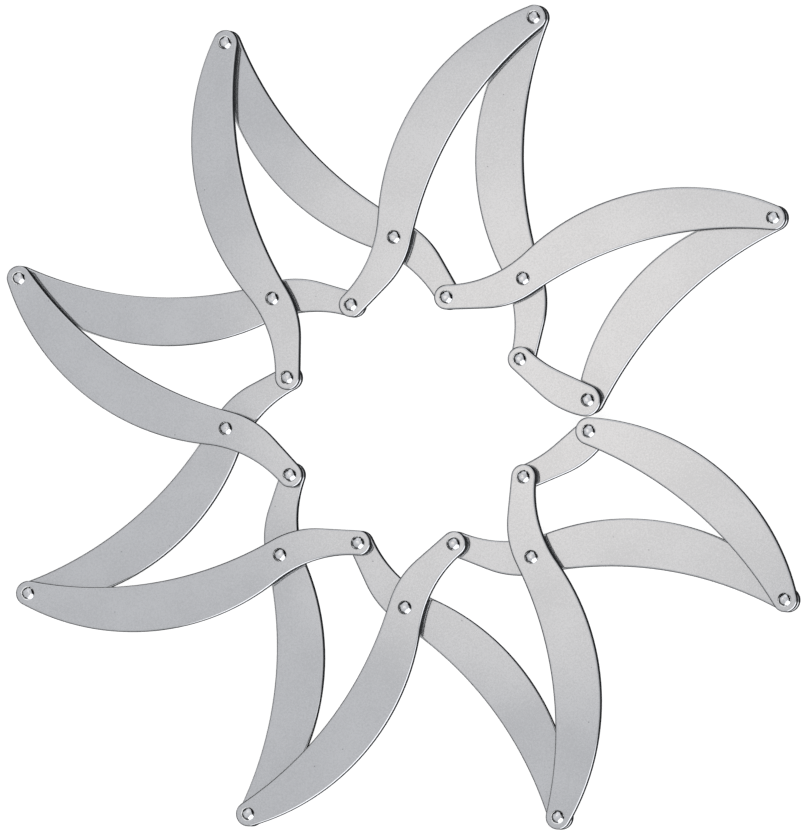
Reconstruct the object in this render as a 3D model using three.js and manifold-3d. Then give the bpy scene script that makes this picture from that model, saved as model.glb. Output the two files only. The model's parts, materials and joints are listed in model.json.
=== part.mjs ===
// Expanding trivet: curved flat steel arms riveted in two layers into a chain of scissors.
// Opened right out it is an eight-pointed star, and it folds together like a fan.
// Millimetres, +Z up, standing on its lower rivet heads.
import * as THREE from 'three';
import Module from 'manifold-3d';
import { mergeVertices } from 'three/addons/utils/BufferGeometryUtils.js';

const wasm = await Module();
wasm.setup();

// The linkage: how many star points, and how far the tip and inner rivets lie from a crossing.
const starPoints = 8;
const crossings = starPoints - 1;
const outerReach = 66;
const innerReach = 20.36;

// The sheet that the arms are blanked from, the gap between the two layers, and the softened edge.
const sheet = 2;
const layerGap = 1.2;
const edgeSoftening = 0.25;

// The arm's outline is a belt of arcs round its three rivets: the crown and the hollow bound the outer
// crescent, the neck and the belly the short curve the other way. It is as wide as its waist at the crossing.
const endRadius = 3.15;
const waist = 8.66;
const crownRadius = 60.4;
const neckRadius = 30.4;
const bellyRadius = 22.8;
const hollowRadius = 92.4;

// The two end arms stop at their end rivet in a round end, and the two end links in a nose that is
// a little narrower than the waist.
const endArmRadius = 3.5;
const endCrownRadius = 58.4;
const endHollowRadius = 99.6;
const noseTrim = 0.28;
const noseSetback = 0.76;
const noseRadius = waist / 2 - noseTrim;
const stopGap = 0.3;

// The shouldered rivets: a domed head and foot, a shank through each arm, and a collar between the arms.
const shankRadius = 1;
const headRadius = 1.75;
const headHeight = 1.1;
const footHeight = 1.1;
const crownFlatRadius = 0.6;
const collarRadius = 2.5;
const holeClearance = 0.15;
const splitGap = 0.3;

// How finely the round forms are cut into flats: the arcs by how far a flat may leave them.
const arcFlatness = 0.1;
const rivetSides = 12;
const domeSteps = 2;
const leastStep = 0.01;
const cutOverrun = 1;

// Heights of the sheets and of the top of the heads above the table.
const lowerFloor = footHeight;
const lowerTop = lowerFloor + sheet;
const upperFloor = lowerTop + layerGap;
const upperTop = upperFloor + sheet;
const crownLevel = upperTop + headHeight;

const halfTurn = Math.PI;

// The point that lies a distance from another in the direction of an angle.
function offset(from, distance, angle) {
  return new THREE.Vector2(Math.cos(angle), Math.sin(angle)).multiplyScalar(distance).add(from);
}

// The point at two given distances from two others, on the right of the way from the first to the second.
function between(first, second, fromFirst, fromSecond) {
  const way = second.clone().sub(first);
  const length = way.length();
  const along = (fromFirst ** 2 - fromSecond ** 2 + length ** 2) / (2 * length);
  const across = Math.sqrt(fromFirst ** 2 - along ** 2);
  way.normalize();
  return new THREE.Vector2(way.y, -way.x).multiplyScalar(across).addScaledVector(way, along).add(first);
}

// The direction that the straight joining two neighbouring rounds of a belt faces.
function facing(one, next) {
  const way = next.at.clone().sub(one.at);
  const sine = THREE.MathUtils.clamp((one.radius - next.radius) / way.length(), -1, 1);
  return way.angle() - Math.PI / 2 + Math.asin(sine);
}

// A closed outline run anticlockwise as a belt round a list of circles, joined by straights or by touching.
// A circle with a negative radius is a hollow, with the material outside it.
function belt(rounds) {
  const points = [];
  const fullTurn = halfTurn * 2;
  rounds.forEach((round, i) => {
    const before = rounds.at(i - 1);
    const after = rounds[(i + 1) % rounds.length];
    const start = facing(before, round);
    const turn = THREE.MathUtils.euclideanModulo(facing(round, after) - start, fullTurn);
    const sweep = round.radius > 0 ? turn : turn - fullTurn;
    const step = 2 * Math.acos(1 - arcFlatness / Math.abs(round.radius));
    const flats = Math.ceil(Math.abs(sweep) / step);
    for (let k = 0; k <= flats; k += 1) {
      points.push(offset(round.at, round.radius, start + (sweep * k) / flats));
    }
  });
  return points.filter((point, i) => point.distanceTo(points.at(i - 1)) > leastStep);
}

// Places on every arm: its crossing rivet is at the origin and its tip lies along X.
const crossing = new THREE.Vector2(0, 0);
const tip = new THREE.Vector2(outerReach, 0);
const inner = new THREE.Vector2(-innerReach, 0);

// The middle of an arc that touches the tip's round end and passes the crossing at a distance.
function overCrescent(radius, fromCrossing) {
  return between(crossing, tip, radius - fromCrossing, radius - endRadius);
}

// Middles of the arcs. The neck touches the crown and the inner round end, and the belly meets the hollow
// beside the crossing.
const crown = overCrescent(crownRadius, waist / 2);
const hollow = overCrescent(-hollowRadius, waist / 2);
const neck = between(crown, inner, crownRadius + neckRadius, neckRadius + endRadius);
const belly = offset(crossing, bellyRadius - waist / 2, crossing.clone().sub(hollow).angle());

const tipEnd = { at: tip, radius: endRadius };
const innerEnd = { at: inner, radius: endRadius };
const neckRound = { at: neck, radius: -neckRadius };
const bellyRound = { at: belly, radius: bellyRadius };

// The whole S-shaped arm, from its inner rivet through the crossing to its tip.
function armOutline() {
  const crownRound = { at: crown, radius: crownRadius };
  const hollowRound = { at: hollow, radius: -hollowRadius };
  return belt([tipEnd, crownRound, neckRound, innerEnd, bellyRound, hollowRound]);
}

// The outer half alone: a crescent from the tip to a round end at the crossing.
function endArmOutline() {
  const roundEnd = { at: crossing, radius: endArmRadius };
  const crownRound = { at: overCrescent(endCrownRadius, endArmRadius), radius: endCrownRadius };
  const hollowRound = { at: overCrescent(-endHollowRadius, endArmRadius), radius: -endHollowRadius };
  return belt([tipEnd, crownRound, roundEnd, hollowRound]);
}

// The inner half alone: a short link from the inner rivet to a nose round the crossing. The nose touches
// the belly, set back along it.
function endLinkOutline() {
  const reach = bellyRadius - noseRadius;
  const angle = crossing.clone().sub(belly).angle() - noseSetback / reach;
  const nose = { at: offset(belly, reach, angle), radius: noseRadius };
  return belt([nose, neckRound, innerEnd, bellyRound]);
}

// A closed geometry as a solid for cutting, and a solid back as a geometry.
function toSolid(geometry) {
  const bare = geometry.clone();
  bare.deleteAttribute('normal');
  bare.deleteAttribute('uv');
  const merged = mergeVertices(bare);
  const vertProperties = new Float32Array(merged.attributes.position.array);
  const triVerts = new Uint32Array(merged.index.array);
  return new wasm.Manifold(new wasm.Mesh({ numProp: 3, vertProperties, triVerts }));
}

function toGeometry(solid) {
  const mesh = solid.getMesh();
  const geometry = new THREE.BufferGeometry();
  geometry.setAttribute('position', new THREE.BufferAttribute(mesh.vertProperties, mesh.numProp));
  geometry.setIndex(new THREE.BufferAttribute(mesh.triVerts, 1));
  geometry.computeVertexNormals();
  return geometry;
}

// An arm blanked from the sheet, its edges softened on both faces, with a hole for each rivet.
function blank(outline, rivetPlaces) {
  const plate = new THREE.ExtrudeGeometry(new THREE.Shape(outline), {
    depth: sheet - 2 * edgeSoftening,
    bevelThickness: edgeSoftening,
    bevelSize: edgeSoftening,
    bevelOffset: -edgeSoftening,
    bevelSegments: 1,
  });
  plate.translate(0, 0, edgeSoftening);
  const holeRadius = shankRadius + holeClearance;
  const punch = new THREE.CylinderGeometry(holeRadius, holeRadius, sheet + 2 * cutOverrun, rivetSides);
  punch.rotateX(Math.PI / 2);
  return toGeometry(rivetPlaces.reduce((solid, place) => {
    const hole = punch.clone().translate(place.x, place.y, sheet / 2);
    return solid.subtract(toSolid(hole));
  }, toSolid(plate)));
}

// A dome's section from its rim to its small flat crown, rising or, for a foot, hanging from its base.
function domeSection(base, height) {
  const points = [];
  for (let k = 0; k <= domeSteps; k += 1) {
    const angle = (Math.PI / 2) * (k / domeSteps);
    const radius = crownFlatRadius + (headRadius - crownFlatRadius) * Math.cos(angle);
    points.push(new THREE.Vector2(radius, base + height * Math.sin(angle)));
  }
  return points;
}

// The parts of a rivet's section, each from its lowest point up.
function footSection() {
  return [new THREE.Vector2(0, 0), ...domeSection(footHeight, -footHeight).reverse(),
    new THREE.Vector2(shankRadius, footHeight)];
}

function collarSection(floor) {
  return [new THREE.Vector2(collarRadius, floor), new THREE.Vector2(collarRadius, upperFloor),
    new THREE.Vector2(shankRadius, upperFloor)];
}

function headSection() {
  return [new THREE.Vector2(shankRadius, upperTop), ...domeSection(upperTop, headHeight),
    new THREE.Vector2(0, crownLevel)];
}

function turned(section) {
  return new THREE.LatheGeometry(section, rivetSides).rotateX(Math.PI / 2);
}

// A whole rivet, as at the tips, the crossings and the two ends of the chain.
function wholeRivet() {
  return turned([...footSection(), new THREE.Vector2(shankRadius, lowerTop), ...collarSection(lowerTop),
    ...headSection()]);
}

// The inner rivets are in two pieces: the upper one has the head and the collar, the lower one the foot.
function upperRivetPiece() {
  const floor = lowerTop + splitGap;
  return turned([new THREE.Vector2(0, floor), ...collarSection(floor), ...headSection()]);
}

function lowerRivetPiece() {
  return turned([...footSection(), new THREE.Vector2(shankRadius, lowerTop), new THREE.Vector2(0, lowerTop)]);
}

// How far the chain opens. A scissor takes up an angle of the ring, its pitch, and the chain is right out
// when the two end rivets are as far apart as the round ends that meet there.
const reachRatio = (outerReach - innerReach) / (outerReach + innerReach);
const halfSpreadAt = (pitch) => Math.atan(Math.tan(pitch / 2) / reachRatio);
const ringRadiusAt = (halfSpread) =>
  (2 * outerReach * innerReach * Math.cos(halfSpread)) / (outerReach - innerReach);
const endSpacing = endArmRadius + noseRadius + stopGap;

function fullPitch() {
  let low = halfTurn / (2 * starPoints);
  let high = (halfTurn * 2) / starPoints;
  const halvings = 50;
  for (let k = 0; k < halvings; k += 1) {
    const middle = (low + high) / 2;
    const ends = 2 * ringRadiusAt(halfSpreadAt(middle)) * Math.sin(halfTurn - (starPoints * middle) / 2);
    if (ends > endSpacing) low = middle;
    else high = middle;
  }
  return (low + high) / 2;
}

const pitch = fullPitch();
const halfSpread = halfSpreadAt(pitch);
const ringRadius = ringRadiusAt(halfSpread);
const tipRadius = Math.hypot(
  ringRadius + outerReach * Math.cos(halfSpread), outerReach * Math.sin(halfSpread));
const innerRadius = Math.hypot(
  ringRadius - innerReach * Math.cos(halfSpread), innerReach * Math.sin(halfSpread));

// Places in the ring. Station 0 and the last station are the chain's two ends, which face +X, and the
// stations between them are the crossings. Star point j lies half a pitch before station j.
const middleStation = starPoints / 2;
const stationAngle = (j) => halfTurn + (j - middleStation) * pitch;
const ringMiddle = new THREE.Vector2(0, 0);
const stationPlace = (j) => offset(ringMiddle, ringRadius, stationAngle(j));
const tipPlace = (j) => offset(ringMiddle, tipRadius, stationAngle(j) - pitch / 2);
const innerPlace = (j) => offset(ringMiddle, innerRadius, stationAngle(j) - pitch / 2);

const ring = new THREE.Group();

// Adds an arm with its crossing place at a station and its length in line with two rivets.
function addArm(name, geometry, floor, station, from, to) {
  const steel = new THREE.MeshStandardMaterial({ color: 0xc6c8ca, roughness: 0.38, metalness: 1 });
  const arm = new THREE.Mesh(geometry, steel);
  arm.name = name;
  arm.position.set(station.x, station.y, floor);
  arm.rotation.z = to.clone().sub(from).angle();
  ring.add(arm);
}

function addRivet(name, geometry, place) {
  const polished = new THREE.MeshStandardMaterial({ color: 0xd2d3d3, roughness: 0.16, metalness: 1 });
  const rivet = new THREE.Mesh(geometry, polished);
  rivet.name = name;
  rivet.position.set(place.x, place.y, 0);
  ring.add(rivet);
}

// Seven scissors: an upper and a lower arm cross at each crossing.
const armBlank = blank(armOutline(), [inner, crossing, tip]);
for (let j = 1; j <= crossings; j += 1) {
  addArm(`upper_arm_${j}`, armBlank, upperFloor, stationPlace(j), innerPlace(j + 1), tipPlace(j));
  addArm(`lower_arm_${j}`, armBlank, lowerFloor, stationPlace(j), innerPlace(j), tipPlace(j + 1));
}

// The half scissors that close the chain's two ends: an end arm and an end link in each.
const first = stationPlace(0);
const last = stationPlace(starPoints);
const endArmBlank = blank(endArmOutline(), [crossing, tip]);
const endLinkBlank = blank(endLinkOutline(), [inner, crossing]);
addArm('lower_end_arm', endArmBlank, lowerFloor, first, first, tipPlace(1));
addArm('upper_end_link', endLinkBlank, upperFloor, first, innerPlace(1), first);
addArm('upper_end_arm', endArmBlank, upperFloor, last, last, tipPlace(starPoints));
addArm('lower_end_link', endLinkBlank, lowerFloor, last, innerPlace(starPoints), last);

// The rivets: one at each crossing, tip and end, and a two-piece one at each inner point.
const rivet = wholeRivet();
const upperPiece = upperRivetPiece();
const lowerPiece = lowerRivetPiece();
for (let j = 1; j <= crossings; j += 1) {
  addRivet(`crossing_rivet_${j}`, rivet, stationPlace(j));
}
for (let j = 1; j <= starPoints; j += 1) {
  addRivet(`tip_rivet_${j}`, rivet, tipPlace(j));
  addRivet(`inner_rivet_head_${j}`, upperPiece, innerPlace(j));
  addRivet(`inner_rivet_foot_${j}`, lowerPiece, innerPlace(j));
}
addRivet('end_rivet_1', rivet, first);
addRivet('end_rivet_2', rivet, last);

// The trivet stands with the middle of its footprint over the origin.
const trivet = new THREE.Group();
trivet.add(ring);
const footprint = new THREE.Box3().setFromObject(ring, true).getCenter(new THREE.Vector3());
ring.position.set(-footprint.x, -footprint.y, 0);

export default trivet;
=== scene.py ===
import json
import math

import bpy
from mathutils import Matrix, Vector, geometry


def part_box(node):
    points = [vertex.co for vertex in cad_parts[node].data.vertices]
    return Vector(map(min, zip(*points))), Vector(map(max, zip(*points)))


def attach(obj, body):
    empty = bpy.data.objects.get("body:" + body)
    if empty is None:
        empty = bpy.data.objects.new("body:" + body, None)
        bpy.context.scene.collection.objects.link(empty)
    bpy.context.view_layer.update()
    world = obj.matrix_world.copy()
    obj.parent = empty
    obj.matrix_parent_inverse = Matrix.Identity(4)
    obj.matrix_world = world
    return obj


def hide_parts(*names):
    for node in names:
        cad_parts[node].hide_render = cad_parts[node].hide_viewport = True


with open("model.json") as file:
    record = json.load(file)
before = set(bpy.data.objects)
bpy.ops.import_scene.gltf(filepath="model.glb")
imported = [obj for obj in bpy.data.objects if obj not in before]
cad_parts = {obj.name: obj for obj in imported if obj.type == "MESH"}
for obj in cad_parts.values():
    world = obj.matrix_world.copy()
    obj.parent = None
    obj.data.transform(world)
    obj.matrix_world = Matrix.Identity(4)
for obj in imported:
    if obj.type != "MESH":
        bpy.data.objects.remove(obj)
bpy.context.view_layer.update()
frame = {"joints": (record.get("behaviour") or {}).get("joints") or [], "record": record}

# The S-shaped arms: seven in the upper layer and seven in the lower one, blanked from 2 mm stainless sheet.
# They are tumbled after blanking, so both faces keep a fine satin grain and the outline's edges are rounded.
# Each turns on three rivets, at its tip, at its crossing and at its inner end.
mm = 0.001
crossings = 7
tips = crossings + 1
outer_reach = 66 * mm
inner_reach = 20.36 * mm
end_radius = 3.15 * mm
waist = 8.66 * mm
crown_radius = 60.4 * mm
neck_radius = 30.4 * mm
belly_radius = 22.8 * mm
hollow_radius = 92.4 * mm
hole_radius = 1.15 * mm
upper_edge_width = 0.52 * mm
upper_edge_depth = 0.38 * mm
lower_edge = 0.15 * mm
edge_steps = 8
shiny_steps = 5
arc_flatness = 0.01 * mm
hole_sides = 24
lower_floor, lower_top = (corner.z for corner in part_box("lower_arm_1"))
upper_floor, upper_top = (corner.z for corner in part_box("upper_arm_1"))
sheet = upper_top - upper_floor


def direction(angle):
    return Vector((math.cos(angle), math.sin(angle)))


def angle_of(way):
    return math.atan2(way.y, way.x)


def at_height(point, height):
    return Vector((point.x, point.y, height))


def between(first, second, from_first, from_second):
    """The point at given distances from two others, on the right of the way from the first to the second."""
    way = second - first
    along = (from_first**2 - from_second**2 + way.length**2) / (2 * way.length)
    across = math.sqrt(from_first**2 - along**2)
    way.normalize()
    return first + along * way + across * Vector((way.y, -way.x))


def facing(one, following):
    """The direction faced by the straight that joins two neighbouring rounds of a belt."""
    way = following[0] - one[0]
    sine = (one[1] - following[1]) / way.length
    return angle_of(way) - math.pi / 2 + math.asin(max(-1, min(1, sine)))


def belt(rounds):
    """Points and outward directions of an outline run as a belt round (middle, radius) circles.
    A negative radius is a hollow, with the metal outside it."""
    points = []
    for i, (middle, radius) in enumerate(rounds):
        following = rounds[(i + 1) % len(rounds)]
        start = facing(rounds[i - 1], rounds[i])
        turn = (facing(rounds[i], following) - start) % (2 * math.pi)
        sweep = turn if radius > 0 else turn - 2 * math.pi
        flats = math.ceil(abs(sweep) / (2 * math.acos(1 - arc_flatness / abs(radius))))
        for k in range(flats + 1):
            out = direction(start + sweep * k / flats)
            points.append((middle + radius * out, out))
    return [p for i, p in enumerate(points) if (p[0] - points[i - 1][0]).length > arc_flatness]


crossing = Vector((0, 0))
tip = Vector((outer_reach, 0))
inner = Vector((-inner_reach, 0))


def over_crescent(radius, from_crossing):
    """The middle of an arc that passes the crossing at a given distance and ends round the tip."""
    return between(crossing, tip, radius - from_crossing, radius - end_radius)


crown = over_crescent(crown_radius, waist / 2)
hollow = over_crescent(-hollow_radius, waist / 2)
neck = between(crown, inner, crown_radius + neck_radius, neck_radius + end_radius)
belly = crossing + (belly_radius - waist / 2) * direction(angle_of(crossing - hollow))
arm_outline = belt([
    (tip, end_radius),
    (crown, crown_radius),
    (neck, -neck_radius),
    (inner, end_radius),
    (belly, belly_radius),
    (hollow, -hollow_radius),
])


def rolled_edge(width, depth):
    """A rounded edge from the flat face to the wall: each step's inset from the wall and drop from the face,
    then the outward and the upward part of its normal."""
    steps = []
    for k in range(edge_steps + 1):
        angle = math.pi / 2 * k / edge_steps
        inset = width * (1 - math.sin(angle))
        drop = depth * (1 - math.cos(angle))
        slope = math.atan2(width * math.cos(angle), depth * math.sin(angle))
        steps.append((inset, drop, math.cos(slope), math.sin(slope)))
    return steps


def wall_levels():
    """The wall of a blank from lower face to upper face, as (inset, height, outward, upward) levels."""
    lower = [(inset, drop, out, -up) for inset, drop, out, up in rolled_edge(lower_edge, lower_edge)]
    upper = rolled_edge(upper_edge_width, upper_edge_depth)
    return lower + [(inset, sheet - drop, out, up) for inset, drop, out, up in reversed(upper)]


# A blank's three finishes, numbered in the order in which its mesh holds their materials.
# Of the upper roll only the shiny_steps next to the face shine, and the rest takes the torn wall's finish,
# whose near-black tone is painted shade.
satin, torn_painted_shade, shiny = range(3)


def blank(name, outline, holes, place):
    """A blank of the sheet at its place in the frame, with a rolled outline and sharp rivet holes."""
    verts, faces, finishes, normals = [], [], [], []
    levels = wall_levels()
    for inset, height, _, _ in levels:
        verts += [at_height(point - inset * way, height) for point, way in outline]
    count = len(outline)
    for step, (low, high) in enumerate(zip(levels, levels[1:])):
        # The wall and the lower part of the upper roll take the torn finish, painted dark as shade.
        finish = torn_painted_shade if edge_steps <= step < len(levels) - 1 - shiny_steps else shiny
        below, above = step * count, (step + 1) * count
        for i in range(count):
            j = (i + 1) % count
            faces.append((below + i, below + j, above + j, above + i))
            finishes.append(finish)
            for k, (_, _, out, up) in ((i, low), (j, low), (j, high), (i, high)):
                normals.append(at_height(out * outline[k][1], up))

    circle = [direction(2 * math.pi * k / hole_sides) for k in range(hole_sides)]
    rims = []
    for height in (0, sheet):
        for hole in holes:
            rims.append(range(len(verts), len(verts) + hole_sides))
            verts += [at_height(hole + hole_radius * way, height) for way in circle]
    lower_rims, upper_rims = rims[:len(holes)], rims[len(holes):]
    for low, high in zip(lower_rims, upper_rims):
        for i in range(hole_sides):
            j = (i + 1) % hole_sides
            faces.append((low[i], high[i], high[j], low[j]))
            # The hole walls take the torn finish too, painted dark as shade.
            finishes.append(torn_painted_shade)
            normals += [at_height(-circle[k], 0) for k in (i, i, j, j)]

    for level, face_rims, up in ((0, lower_rims, -1), (len(levels) - 1, upper_rims, 1)):
        loops = [range(level * count, (level + 1) * count)] + face_rims
        order = [v for loop in loops for v in loop]
        for triangle in geometry.tessellate_polygon([[verts[v] for v in loop] for loop in loops]):
            a, b, c = (order[t] for t in triangle)
            if (verts[b] - verts[a]).cross(verts[c] - verts[a]).z * up < 0:
                b, c = c, b
            faces.append((a, b, c))
            finishes.append(satin)
            normals += [Vector((0, 0, up))] * 3

    turn = place.to_3x3()
    mesh = bpy.data.meshes.new(name)
    mesh.from_pydata([place @ v for v in verts], [], faces)
    mesh.polygons.foreach_set("use_smooth", [True] * len(faces))
    mesh.polygons.foreach_set("material_index", finishes)
    mesh.normals_split_custom_set([turn @ n for n in normals])
    mesh.materials.append(satin_steel)
    mesh.materials.append(sheared_steel_painted_shade)
    mesh.materials.append(tumbled_edge)
    return mesh


def linear(hex_colour):
    """An sRGB hex colour as linear RGBA."""
    shares = [int(hex_colour[i:i + 2], 16) / 255 for i in (1, 3, 5)]
    return tuple(s / 12.92 if s <= 0.04045 else ((s + 0.055) / 1.055) ** 2.4 for s in shares) + (1,)


def add_node(tree, kind, settings=None, **inputs):
    """Adds a node with its settings and inputs. An input is a socket's name, or its number (_0) where names
    repeat. It takes a value, a node's output, or a node, which stands for its first output in use."""
    node = tree.nodes.new(kind)
    for name, value in (settings or {}).items():
        setattr(node, name, value)
    for name, value in inputs.items():
        if name[0] == "_":
            socket = node.inputs[int(name[1:])]
        else:
            socket = next(s for s in node.inputs if s.enabled and s.name == name.replace("_", " "))
        if isinstance(value, bpy.types.Node):
            value = next(s for s in value.outputs if s.enabled)
        if isinstance(value, bpy.types.NodeSocket):
            tree.links.new(value, socket)
        else:
            socket.default_value = value
    return node


def new_material(name):
    """A new material and its empty node tree."""
    material = bpy.data.materials.new(name)
    material.use_nodes = True
    material.node_tree.nodes.clear()
    return material, material.node_tree


# Satin stainless steel, tumbled: a grey mirror blurred by a fine even grain, with a few tiny pits.
# The grain scatters a little of the light wide, so that a face keeps some grey where it mirrors a dark wall.
# The grain is drawn 0.4 mm wide, which is as fine as the picture can show, and coarser than the real one.
grain = 0.4 * mm
grain_depth = 0.005 * mm
cloud = 14 * mm
cloud_share = 0.35
pit_spacing = 5 * mm
pit_core = 0.1 * mm
pit_rim = 0.225 * mm
# The grain is turned off the sheet's own directions by these angles in radians, so that no rows show in it.
grain_turn = (0.5, 0.4, 0.3)
# Most of a noise lies between the first two of these levels, and most of the mottle between the other two.
noise_low, noise_high = 0.3, 0.7
mottle_low, mottle_high = 0.4, 0.6
satin_steel, tree = new_material("satin_stainless_sheet")
here = add_node(tree, "ShaderNodeTexCoord").outputs["Object"]
here = add_node(tree, "ShaderNodeMapping", Vector=here, Rotation=grain_turn)
fine = add_node(tree, "ShaderNodeTexNoise", Vector=here, Scale=1 / grain, Detail=1.0, Roughness=0.6)
broad = add_node(tree, "ShaderNodeTexNoise", Vector=here, Scale=1 / cloud, Detail=2.0, Roughness=0.5)
pits = add_node(tree, "ShaderNodeTexVoronoi", Vector=here, Scale=1 / pit_spacing)
pit = add_node(
    tree, "ShaderNodeMapRange", {"interpolation_type": "SMOOTHSTEP"},
    Value=pits, From_Min=pit_core / pit_spacing, From_Max=pit_rim / pit_spacing, To_Min=1.0, To_Max=0.0,
)
fine_part = add_node(tree, "ShaderNodeMath", {"operation": "MULTIPLY"}, _0=fine, _1=1 - cloud_share)
mottle = add_node(
    tree, "ShaderNodeMath", {"operation": "MULTIPLY_ADD"},
    _0=broad, _1=cloud_share, _2=fine_part,
)
tone = add_node(tree, "ShaderNodeMapRange", Value=mottle, From_Min=mottle_low, From_Max=mottle_high)
metal = add_node(
    tree, "ShaderNodeMix", {"data_type": "RGBA"},
    Factor=tone, A=linear("#c4c5c6"), B=linear("#cecfd0"),
)
pitted = add_node(tree, "ShaderNodeMix", {"data_type": "RGBA"}, Factor=pit, A=metal, B=linear("#98999b"))
gloss = add_node(
    tree, "ShaderNodeMapRange",
    Value=broad, From_Min=noise_low, From_Max=noise_high, To_Min=0.11, To_Max=0.13,
)
relief = add_node(tree, "ShaderNodeMath", {"operation": "SUBTRACT"}, _0=fine, _1=pit)
bump = add_node(tree, "ShaderNodeBump", Strength=0.1, Distance=grain_depth, Height=relief)
steel = add_node(
    tree, "ShaderNodeBsdfPrincipled",
    Base_Color=pitted, Metallic=0.92, Roughness=gloss, Normal=bump,
)
add_node(tree, "ShaderNodeOutputMaterial", Surface=steel)

# The rolls of the edges: the same steel, tumbled to a brighter shine than the faces.
# They mirror the room sharply enough to draw a light and a dark line along every edge.
edge_grain_depth = 0.004 * mm
tumbled_edge, tree = new_material("tumbled_stainless_edge")
here = add_node(tree, "ShaderNodeTexCoord").outputs["Object"]
fine = add_node(tree, "ShaderNodeTexNoise", Vector=here, Scale=1 / grain, Detail=1.0, Roughness=0.6)
metal = add_node(
    tree, "ShaderNodeMix", {"data_type": "RGBA"},
    Factor=fine, A=linear("#bdbebf"), B=linear("#d2d3d4"),
)
gloss = add_node(
    tree, "ShaderNodeMapRange",
    Value=fine, From_Min=noise_low, From_Max=noise_high, To_Min=0.07, To_Max=0.11,
)
bump = add_node(tree, "ShaderNodeBump", Strength=0.2, Distance=edge_grain_depth, Height=fine)
steel = add_node(
    tree, "ShaderNodeBsdfPrincipled",
    Base_Color=metal, Metallic=1.0, Roughness=gloss, Normal=bump,
)
add_node(tree, "ShaderNodeOutputMaterial", Surface=steel)

# The sheared wall of the blank: steel torn into fine streaks across the sheet by the punch.
# It is too rough to mirror anything, so it is drawn as a matte grey, and its near-black tone is painted
# shade and painted dark reflection.
# This painted shade gives every arm the dark line that runs round its edge.
streak_width = 0.25 * mm
streak_squeeze = 0.15
sheared_steel_painted_shade, tree = new_material("sheared_edge_painted_shade")
here = add_node(tree, "ShaderNodeTexCoord").outputs["Object"]
here = add_node(tree, "ShaderNodeMapping", Vector=here, Scale=(1, 1, streak_squeeze))
streaks = add_node(
    tree, "ShaderNodeTexNoise",
    Vector=here, Scale=1 / streak_width, Detail=2.0, Roughness=0.6,
)
# These two near-black greys are painted shade: they stand in for the shade and dark reflections along the
# walls.
metal = add_node(
    tree, "ShaderNodeMix", {"data_type": "RGBA"},
    Factor=streaks, A=linear("#2c2d2e"), B=linear("#393a3c"),
)
gloss = add_node(
    tree, "ShaderNodeMapRange",
    Value=streaks, From_Min=noise_low, From_Max=noise_high, To_Min=0.6, To_Max=0.75,
)
steel = add_node(
    tree, "ShaderNodeBsdfPrincipled",
    Base_Color=metal, Roughness=gloss, Specular_IOR_Level=0.0,
)
add_node(tree, "ShaderNodeOutputMaterial", Surface=steel)

pivot = {joint["name"]: Vector(joint["pos_m"]).xy for joint in frame["joints"]}
bodies = frame["record"]["behaviour"]["bodies"]
body_of = {node: body for body, nodes in bodies.items() for node in nodes}


def set_piece(name, mesh, node):
    """Adds a piece that rides on the body of the node that it replaces."""
    piece = bpy.data.objects.new(name, mesh)
    bpy.context.scene.collection.objects.link(piece)
    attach(piece, body_of[node])
    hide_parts(node)


def set_blank(node, outline, holes, middle, way, floor):
    """Sets a blank in place of a node, its crossing over a pivot and its tip in the given direction."""
    place = Matrix.Translation(at_height(middle, floor)) @ Matrix.Rotation(angle_of(way), 4, "Z")
    set_piece(f"{node}_steel", blank(node, outline, holes, place), node)


inner_places = {}
for j in range(1, crossings + 1):
    middle = pivot[f"crossing_pivot_{j}"]
    for layer, floor, tip_end, inner_end in (
        ("upper", upper_floor, j, j + 1),
        ("lower", lower_floor, j + 1, j),
    ):
        way = pivot[f"tip_pivot_{tip_end}"] - middle
        set_blank(f"{layer}_arm_{j}", arm_outline, [inner, crossing, tip], middle, way, floor)
        inner_places[inner_end] = middle - inner_reach * way.normalized()

# The two end arms: the outer half of an arm alone, from its tip to a round end at the end of the chain.
# One lies in each layer, of the same sheet, blanked and tumbled as the whole arms are.
end_arm_radius = 3.5 * mm
end_crown_radius = 58.4 * mm
end_hollow_radius = 99.6 * mm
end_arm_outline = belt([
    (tip, end_radius),
    (over_crescent(end_crown_radius, end_arm_radius), end_crown_radius),
    (crossing, end_arm_radius),
    (over_crescent(-end_hollow_radius, end_arm_radius), -end_hollow_radius),
])
for layer, floor, end, last_tip in (("lower", lower_floor, 1, 1), ("upper", upper_floor, 2, tips)):
    middle = pivot[f"end_pivot_{end}"]
    way = pivot[f"tip_pivot_{last_tip}"] - middle
    set_blank(f"{layer}_end_arm", end_arm_outline, [crossing, tip], middle, way, floor)

# The two end links: the inner half of an arm alone, from its inner rivet to a round nose at the chain's end.
# They are blanked from the same sheet and tumbled with the arms.
# Opened right out, the nose of one meets the round end of the end arm in the same layer.
nose_trim = 0.28 * mm
nose_setback = 0.76 * mm
nose_radius = waist / 2 - nose_trim
nose_reach = belly_radius - nose_radius
nose_angle = angle_of(crossing - belly) - nose_setback / nose_reach
end_link_outline = belt([
    (belly + nose_reach * direction(nose_angle), nose_radius),
    (neck, -neck_radius),
    (inner, end_radius),
    (belly, belly_radius),
])
for layer, floor, end, inner_end in (("upper", upper_floor, 1, 1), ("lower", lower_floor, 2, tips)):
    middle = pivot[f"end_pivot_{end}"]
    way = middle - inner_places[inner_end]
    set_blank(f"{layer}_end_link", end_link_outline, [inner, crossing], middle, way, floor)

# The rivets: turned and polished stainless steel, with a domed head above and a domed foot below.
# A collar on the shank holds the two layers apart, and the foot is set after the arms are on the shank.
shank_radius = 1 * mm
head_radius = 1.75 * mm
collar_radius = 2.5 * mm
rivet_sides = 48
dome_steps = 14
dome_power = 3
land_share = 0.3
sharp_corner = math.radians(30)
chain_ends = 2
crown_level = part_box("crossing_rivet_1")[1].z


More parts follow.
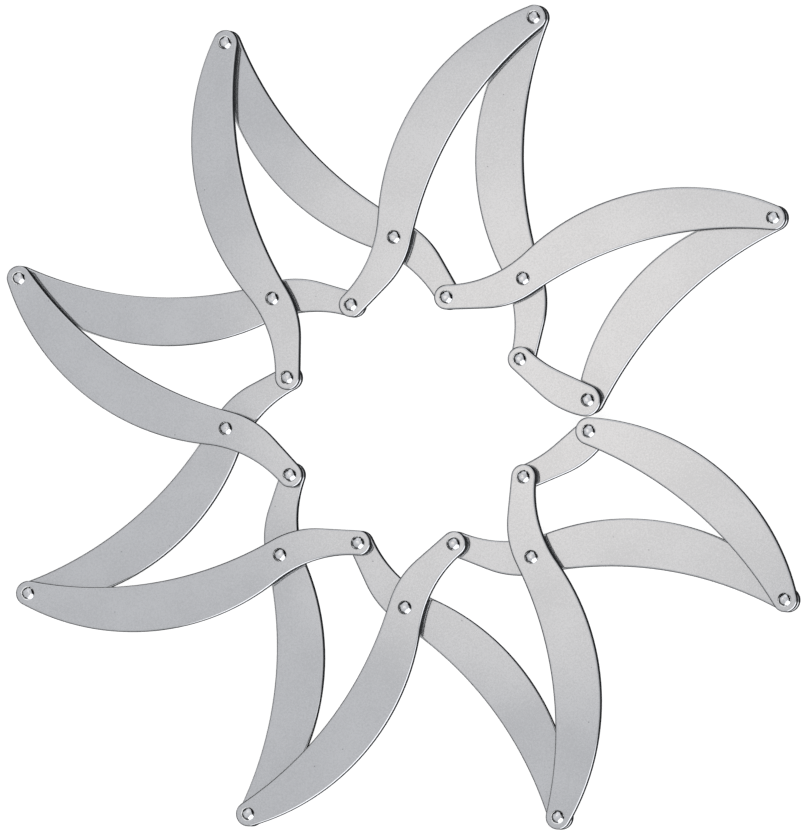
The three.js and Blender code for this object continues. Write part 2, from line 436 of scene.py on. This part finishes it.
def dome(base, height):
    """A low dome on a short upright land, as (radius, height) points from its rim to its crown."""
    points = [(head_radius, base)]
    land = height * land_share
    for k in range(dome_steps + 1):
        spread = 1 - k / dome_steps
        points.append((head_radius * spread, base + land + (height - land) * (1 - spread**dome_power)))
    return points


def collar(floor):
    """The collar below the upper layer, as points up its side and in to the shank."""
    return [(collar_radius, floor), (collar_radius, upper_floor), (shank_radius, upper_floor)]


def turned(name, section, place):
    """A solid turned from a section of (radius, height) points that starts and ends on its axis."""
    verts, faces, rings = [], [], []
    for radius, height in section:
        if radius == 0:
            rings.append([len(verts)] * rivet_sides)
            verts.append(at_height(place, height))
            continue
        rings.append(range(len(verts), len(verts) + rivet_sides))
        for k in range(rivet_sides):
            verts.append(at_height(place + radius * direction(2 * math.pi * k / rivet_sides), height))
    for low, high in zip(rings, rings[1:]):
        for i in range(rivet_sides):
            j = (i + 1) % rivet_sides
            faces.append(tuple(dict.fromkeys((low[i], low[j], high[j], high[i]))))
    mesh = bpy.data.meshes.new(name)
    mesh.from_pydata(verts, [], faces)
    mesh.polygons.foreach_set("use_smooth", [True] * len(faces))
    mesh.set_sharp_from_angle(angle=sharp_corner)
    mesh.materials.append(polished_steel)
    return mesh


# Polished stainless steel: nearly a mirror, made uneven by soft rubbing marks about 0.7 mm wide.
# They break up what each head mirrors, so that no two rivets look quite the same.
rubbing = 0.7 * mm
rubbing_depth = 0.07 * mm
polished_steel, tree = new_material("polished_stainless_rivet")
here = add_node(tree, "ShaderNodeTexCoord").outputs["Object"]
marks = add_node(tree, "ShaderNodeTexNoise", Vector=here, Scale=1 / rubbing, Detail=2.0, Roughness=0.6)
metal = add_node(
    tree, "ShaderNodeMix", {"data_type": "RGBA"},
    Factor=marks, A=linear("#b0b1b2"), B=linear("#f8f9fa"),
)
gloss = add_node(
    tree, "ShaderNodeMapRange",
    Value=marks, From_Min=noise_low, From_Max=noise_high, To_Min=0.06, To_Max=0.1,
)
bump = add_node(tree, "ShaderNodeBump", Strength=1.0, Distance=rubbing_depth, Height=marks)
steel = add_node(
    tree, "ShaderNodeBsdfPrincipled",
    Base_Color=metal, Metallic=1.0, Roughness=gloss, Normal=bump,
)
add_node(tree, "ShaderNodeOutputMaterial", Surface=steel)

foot = dome(lower_floor, -lower_floor)[::-1] + [(shank_radius, lower_floor)]
head = [(shank_radius, upper_top)] + dome(upper_top, crown_level - upper_top)
whole = foot + [(shank_radius, lower_top)] + collar(lower_top) + head
for kind, count in (("crossing", crossings), ("tip", tips), ("end", chain_ends)):
    for j in range(1, count + 1):
        node = f"{kind}_rivet_{j}"
        mesh = turned(node, whole, pivot[f"{kind}_pivot_{j}"])
        set_piece(f"{node}_polished", mesh, node)

# The inner rivets: turned and polished as the others are, but each in two pieces.
# The upper one has the head and the collar, the lower one the foot, and a small gap parts them.
split_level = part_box("inner_rivet_head_1")[0].z
upper_part = [(0, split_level)] + collar(split_level) + head
lower_part = foot + [(shank_radius, lower_top), (0, lower_top)]
for j, place in sorted(inner_places.items()):
    for part, section in (("head", upper_part), ("foot", lower_part)):
        node = f"inner_rivet_{part}_{j}"
        set_piece(f"{node}_polished", turned(node, section, place), node)

# The table: a plain pale sheet, which the camera and the metal see as white.
# To all other light it is grey paper, and it still takes a soft shadow.
table_half = 6
corners = [(x * table_half, y * table_half, 0) for x, y in ((-1, -1), (1, -1), (1, 1), (-1, 1))]
table_mesh = bpy.data.meshes.new("table")
table_mesh.from_pydata(corners, [], [(0, 1, 2, 3)])
table = bpy.data.objects.new("table", table_mesh)
bpy.context.scene.collection.objects.link(table)
white_sheet, tree = new_material("white_paper_sheet")
rays = add_node(tree, "ShaderNodeLightPath").outputs
seen = add_node(
    tree, "ShaderNodeMath", {"operation": "MAXIMUM"},
    _0=rays["Is Camera Ray"], _1=rays["Is Glossy Ray"],
)
seen = add_node(tree, "ShaderNodeMath", {"operation": "MAXIMUM"}, _0=seen, _1=rays["Is Transmission Ray"])
glow = add_node(tree, "ShaderNodeEmission", Color=linear("#ffffff"), Strength=0.84)
paper = add_node(tree, "ShaderNodeBsdfDiffuse", Color=linear("#a8a8a8"))
both = add_node(tree, "ShaderNodeAddShader", _0=glow, _1=paper)
shown = add_node(tree, "ShaderNodeMixShader", _0=seen, _1=paper, _2=both)
add_node(tree, "ShaderNodeOutputMaterial", Surface=shown)
table_mesh.materials.append(white_sheet)

# The studio: a pale ceiling over dark walls, with round boards and cards set about the trivet.
# The rivets and the rounded edges mirror the walls and boards as dark lines, and the cards as light ones.
# The walls end, and the ceiling starts, at a rise that is the sine of the angle above the level.
wall_rise, wall_strength = 0.15, 0.03
ceiling_rise, ceiling_strength = 0.5, 0.75
# Each board or card is (azimuth from the right, elevation, half angle, strength), its angles in degrees.
# A later one covers an earlier one, and each fades out from even_share of its half angle.
even_share = 0.85
cards = [
    (4, 0, 40, 0.01),
    (34, 0, 40, 0.01),
    (-168, 6, 36, 0.09),
    (-120, 4, 34, 0.1),
    (130, 10, 29, 0.01),
    (-160, 12, 12, 0.01),
    (79, 41, 28, 1.0),
    (-53, 28, 38, 2.1),
]
world = bpy.data.worlds.new("studio")
bpy.context.scene.world = world
world.use_nodes = True
tree = world.node_tree
tree.nodes.clear()
rays = add_node(tree, "ShaderNodeLightPath").outputs
outward = add_node(tree, "ShaderNodeTexCoord").outputs["Generated"]
rise = add_node(tree, "ShaderNodeSeparateXYZ", Vector=outward).outputs["Z"]
light = add_node(
    tree, "ShaderNodeMapRange", {"interpolation_type": "SMOOTHSTEP"},
    Value=rise, From_Min=wall_rise, From_Max=ceiling_rise, To_Min=wall_strength, To_Max=ceiling_strength,
)
for azimuth, elevation, half_angle, strength in cards:
    level_part = math.cos(math.radians(elevation)) * direction(math.radians(azimuth))
    card_middle = at_height(level_part, math.sin(math.radians(elevation)))
    rim_cosine = math.cos(math.radians(half_angle))
    even_cosine = math.cos(math.radians(half_angle * even_share))
    nearness = add_node(
        tree, "ShaderNodeVectorMath", {"operation": "DOT_PRODUCT"},
        _0=outward, _1=card_middle,
    )
    cover = add_node(
        tree, "ShaderNodeMapRange", {"interpolation_type": "SMOOTHSTEP"},
        Value=nearness, From_Min=rim_cosine, From_Max=even_cosine,
    )
    light = add_node(tree, "ShaderNodeMix", Factor=cover, A=light, B=strength)
room = add_node(tree, "ShaderNodeBackground", Color=linear("#f6f7fb"), Strength=light)
backdrop = add_node(tree, "ShaderNodeBackground", Color=linear("#ffffff"), Strength=1.0)
sky = add_node(tree, "ShaderNodeMixShader", _0=rays["Is Camera Ray"], _1=room, _2=backdrop)
add_node(tree, "ShaderNodeOutputWorld", Surface=sky)

# One wide soft lamp hangs half a metre above the trivet's upper left, with a warmer, brighter middle.
# It is three discs, each (name, width in metres, watts, height in metres, colour).
lamp_x = -58 * mm
lamp_y = 30 * mm
for name, width, watts, height, colour in (
    ("softbox_rim", 0.5, 0.066, 0.5, "#f6f7fb"),
    ("softbox_middle", 0.18, 0.0254, 0.499, "#fbf0e3"),
    ("softbox_heart", 0.1, 0.0038, 0.498, "#fbf0e3"),
):
    lamp_data = bpy.data.lights.new(name, "AREA")
    lamp_data.shape = "DISK"
    lamp_data.size = width
    lamp_data.energy = watts
    lamp_data.color = linear(colour)[:3]
    lamp = bpy.data.objects.new(name, lamp_data)
    lamp.location = (lamp_x, lamp_y, height)
    lamp.visible_camera = False
    bpy.context.scene.collection.objects.link(lamp)

# The camera stands far above the trivet and 12 degrees off the vertical, towards the chain's two ends.
# It looks at a point of the trivet that the picture has at aim_pixel.
picture_width = 804
picture_height = 836
pixels_per_metre = 3.96 / mm
distance = 6.2
aim = Vector((1.86, 0, 6.3)) * mm
aim_pixel = (406.85, 421.9)
camera_tilt = math.radians(11.96)
tilt_axis_angle = math.radians(263.8)
picture_turn = math.radians(1.88)
tilt = Matrix.Rotation(camera_tilt, 4, at_height(direction(tilt_axis_angle), 0))
turn = Matrix.Rotation(picture_turn, 4, "Z")
aim_right = aim_pixel[0] - picture_width / 2
aim_up = picture_height / 2 - aim_pixel[1]
aim_shift = Vector((aim_right, aim_up, 0)) / pixels_per_metre
step_back = Matrix.Translation(Vector((0, 0, distance)) - aim_shift)
camera_data = bpy.data.cameras.new("camera")
camera_data.sensor_fit = "VERTICAL"
camera_data.sensor_height = 36
camera_data.lens = camera_data.sensor_height * distance * pixels_per_metre / picture_height
camera_data.clip_start = 0.1
camera_data.clip_end = 50
camera = bpy.data.objects.new("camera", camera_data)
camera.matrix_world = Matrix.Translation(aim) @ (tilt @ turn).inverted() @ step_back
bpy.context.scene.collection.objects.link(camera)
bpy.context.scene.camera = camera
bpy.context.scene.view_settings.view_transform = "Standard"
